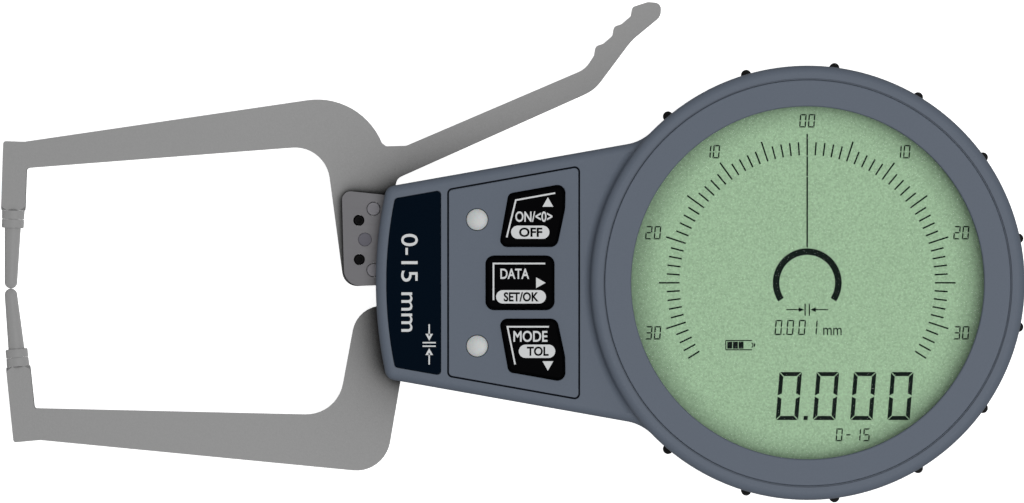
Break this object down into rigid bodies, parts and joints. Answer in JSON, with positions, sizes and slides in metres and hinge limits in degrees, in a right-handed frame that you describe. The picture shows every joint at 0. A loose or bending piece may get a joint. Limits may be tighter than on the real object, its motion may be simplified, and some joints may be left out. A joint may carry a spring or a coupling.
{
  "type": "digital outside dial gauge",
  "caption": "Hand-held digital gauge for outside sizes: round display head, tapered neck with keys, a fixed lower arm and an upper arm opened by a finger lever.",
  "frame": {"origin": "on the dial's axis, in the plane of the flat back the gauge lies on", "axes": "+X away from the measuring arms along the neck, +Y towards the finger lever, +Z out of the display"},
  "size_m": [0.203, 0.0994, 0.025],
  "materials": {
    "shell_plastic": "fine moulded texture, blue-grey",
    "rubber_black": "black moulded rubber",
    "window_clear": "clear flat window",
    "display_green": "grey-green liquid crystal display",
    "white_plastic": "plain moulded",
    "circuit_board": "green solder mask",
    "key_black": "black with pale printed marks",
    "battery_wrap": "satin sleeve",
    "bright_steel": "bright plated",
    "label_navy": "very dark navy film, pale print",
    "lamp_plastic": "milky light pipe",
    "plate_steel": "ground steel plate",
    "arm_alloy": "satin grey anodised",
    "contact_steel": "fine turned, hardened",
    "black_steel": "black oxide",
    "target_brass": "plain sheet"
  },
  "bodies": {
    "housing": {"rear_shell": "shell_plastic", "front_shell": "shell_plastic", "bumper_strip": "rubber_black", "bezel_ring": "shell_plastic", "window_lens": "window_clear", "lens_gasket": "rubber_black", "lcd_panel": "display_green", "lcd_frame": "white_plastic", "display_board": "circuit_board", "battery_tray": "key_black", "battery_upper": "battery_wrap", "battery_lower": "battery_wrap", "battery_contact_left": "bright_steel", "battery_contact_right": "bright_steel", "battery_seal": "rubber_black", "battery_cover": "shell_plastic", "battery_cover_screw_1": "bright_steel", "battery_cover_screw_2": "bright_steel", "label_plate": "label_navy", "keypad_plate": "shell_plastic", "lamp_upper": "lamp_plastic", "lamp_lower": "lamp_plastic", "key_mat": "rubber_black", "key_board": "circuit_board", "chamber_cover": "plate_steel", "chassis_plate": "plate_steel", "bearing_rear": "bright_steel", "bearing_front": "bright_steel", "shaft_seal": "rubber_black", "stop_pin": "bright_steel", "spring_post": "bright_steel", "return_spring": "bright_steel", "sensor_board": "circuit_board", "sensor_cable": "white_plastic", "housing_screw_1": "bright_steel", "housing_screw_2": "bright_steel", "housing_screw_3": "bright_steel", "housing_screw_4": "bright_steel", "chassis_screw_1": "bright_steel", "chassis_screw_2": "bright_steel", "fixed_arm": "arm_alloy", "fixed_contact_bush": "arm_alloy", "fixed_contact_pin": "contact_steel", "fixed_arm_screw_1": "black_steel", "fixed_arm_screw_2": "black_steel"},
    "moving_arm": {"moving_arm": "arm_alloy", "clamp_plate": "plate_steel", "clamp_screw_upper": "black_steel", "clamp_screw_lower": "black_steel", "dowel_pin_upper": "plate_steel", "dowel_pin_lower": "plate_steel", "centre_pin": "bright_steel", "moving_contact_bush": "arm_alloy", "moving_contact_pin": "contact_steel", "pivot_shaft": "bright_steel", "sensor_target": "target_brass"},
    "on_key": {"key_on": "key_black"},
    "data_key": {"key_data": "key_black"},
    "mode_key": {"key_mode": "key_black"}
  },
  "joints": [
    {"name": "arm_pivot", "type": "hinge", "parent": "housing", "child": "moving_arm", "pos_m": [-0.076, 0, 0.0125], "axis": [0, 0, -1], "range_deg": [0, 11], "stiffness_Nm_per_rad": 0.1, "springref_deg": -45.84, "deforming": ["return_spring"]},
    {"name": "on_key_press", "type": "slide", "parent": "housing", "child": "on_key", "axis": [0, 0, -1], "range_m": [0, 0.0006], "stiffness_N_per_m": 400, "springref_m": -0.001},
    {"name": "data_key_press", "type": "slide", "parent": "housing", "child": "data_key", "axis": [0, 0, -1], "range_m": [0, 0.0006], "stiffness_N_per_m": 400, "springref_m": -0.001},
    {"name": "mode_key_press", "type": "slide", "parent": "housing", "child": "mode_key", "axis": [0, 0, -1], "range_m": [0, 0.0006], "stiffness_N_per_m": 400, "springref_m": -0.001}
  ]
}
